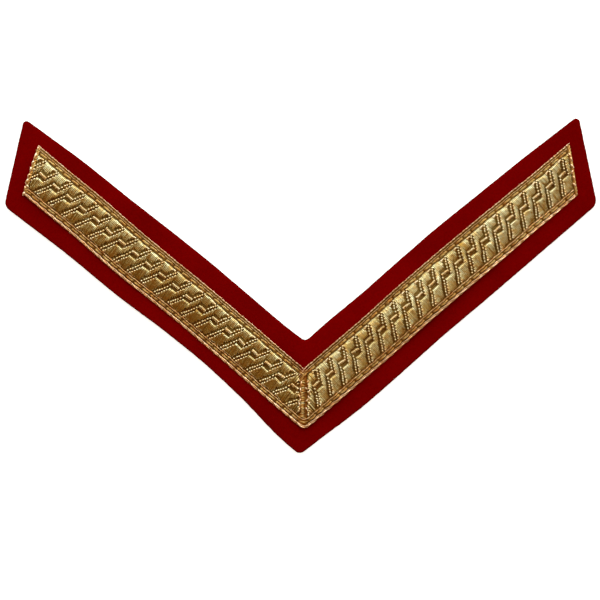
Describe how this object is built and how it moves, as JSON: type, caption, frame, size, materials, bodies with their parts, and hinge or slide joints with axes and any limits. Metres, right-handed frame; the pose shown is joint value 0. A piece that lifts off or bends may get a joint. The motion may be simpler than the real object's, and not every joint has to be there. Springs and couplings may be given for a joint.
{
  "type": "rank chevron patch",
  "caption": "Rank chevron patch, point down: a V of thick scarlet cloth with a bar of half-inch gold lace sewn on it and folded into a mitre at the point.",
  "frame": {"origin": "centre of the cloth backing's box, on its back face", "axes": "+X to the wearer's right as the patch is seen, +Y up the sleeve away from the point, +Z out of the face of the patch"},
  "size_m": [0.1586, 0.0898, 0.0033],
  "materials": {
    "scarlet_cloth": "dense milled wool cloth, matt, cut edges left raw",
    "gold_lace": "woven lace of metallised gold thread, satin"
  },
  "bodies": {
    "root": {"cloth_backing": "scarlet_cloth", "lace_left": "gold_lace", "lace_right": "gold_lace", "mitre_fold": "gold_lace"}
  },
  "joints": []
}
